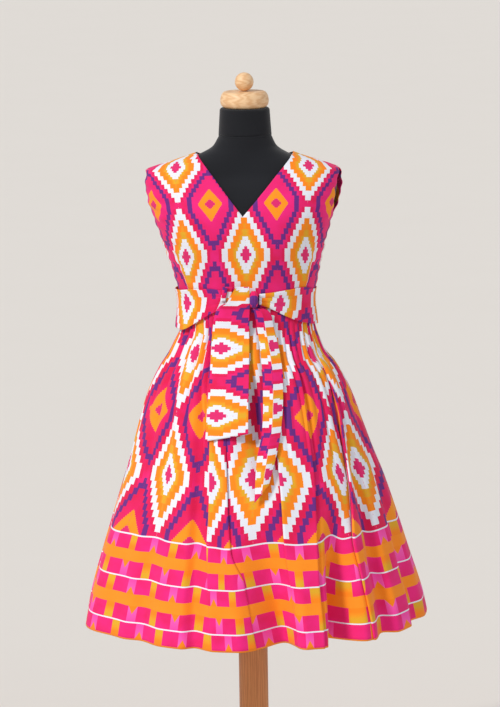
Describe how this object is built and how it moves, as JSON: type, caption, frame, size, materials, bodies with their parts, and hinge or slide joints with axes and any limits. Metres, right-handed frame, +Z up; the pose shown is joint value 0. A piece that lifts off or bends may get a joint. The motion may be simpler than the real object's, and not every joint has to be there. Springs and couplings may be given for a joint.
{
  "type": "sleeveless print dress on a dress form",
  "caption": "Knee-length sleeveless V-neck dress in stepped-diamond cotton with a tied sash, worn on a limbless black dress form on a round wood stand.",
  "frame": {"origin": "centre of the stand's underside, on the floor under the pole", "axes": "+Z up, the dress faces -Y, +X to the viewer's right"},
  "size_m": [0.6881, 0.6637, 1.5566],
  "materials": {
    "printed_cotton": "plain-weave printed cotton, matt with a soft sheen",
    "form_cover": "black jersey cover, matt",
    "pale_wood": "lacquered pale wood",
    "turned_wood": "satin reddish wood"
  },
  "bodies": {
    "root": {"bodice_front": "printed_cotton", "bodice_back_left": "printed_cotton", "bodice_back_right": "printed_cotton", "skirt_front": "printed_cotton", "skirt_back": "printed_cotton", "sash_left": "printed_cotton", "sash_right": "printed_cotton", "sash_back": "printed_cotton", "sash_knot": "printed_cotton", "sash_loop": "printed_cotton", "sash_tail_wide": "printed_cotton", "sash_tail_narrow": "printed_cotton", "form_torso": "form_cover", "form_neck": "form_cover", "neck_cap": "pale_wood", "finial_ball": "pale_wood", "stand_pole": "turned_wood", "stand_base": "turned_wood"}
  },
  "joints": []
}
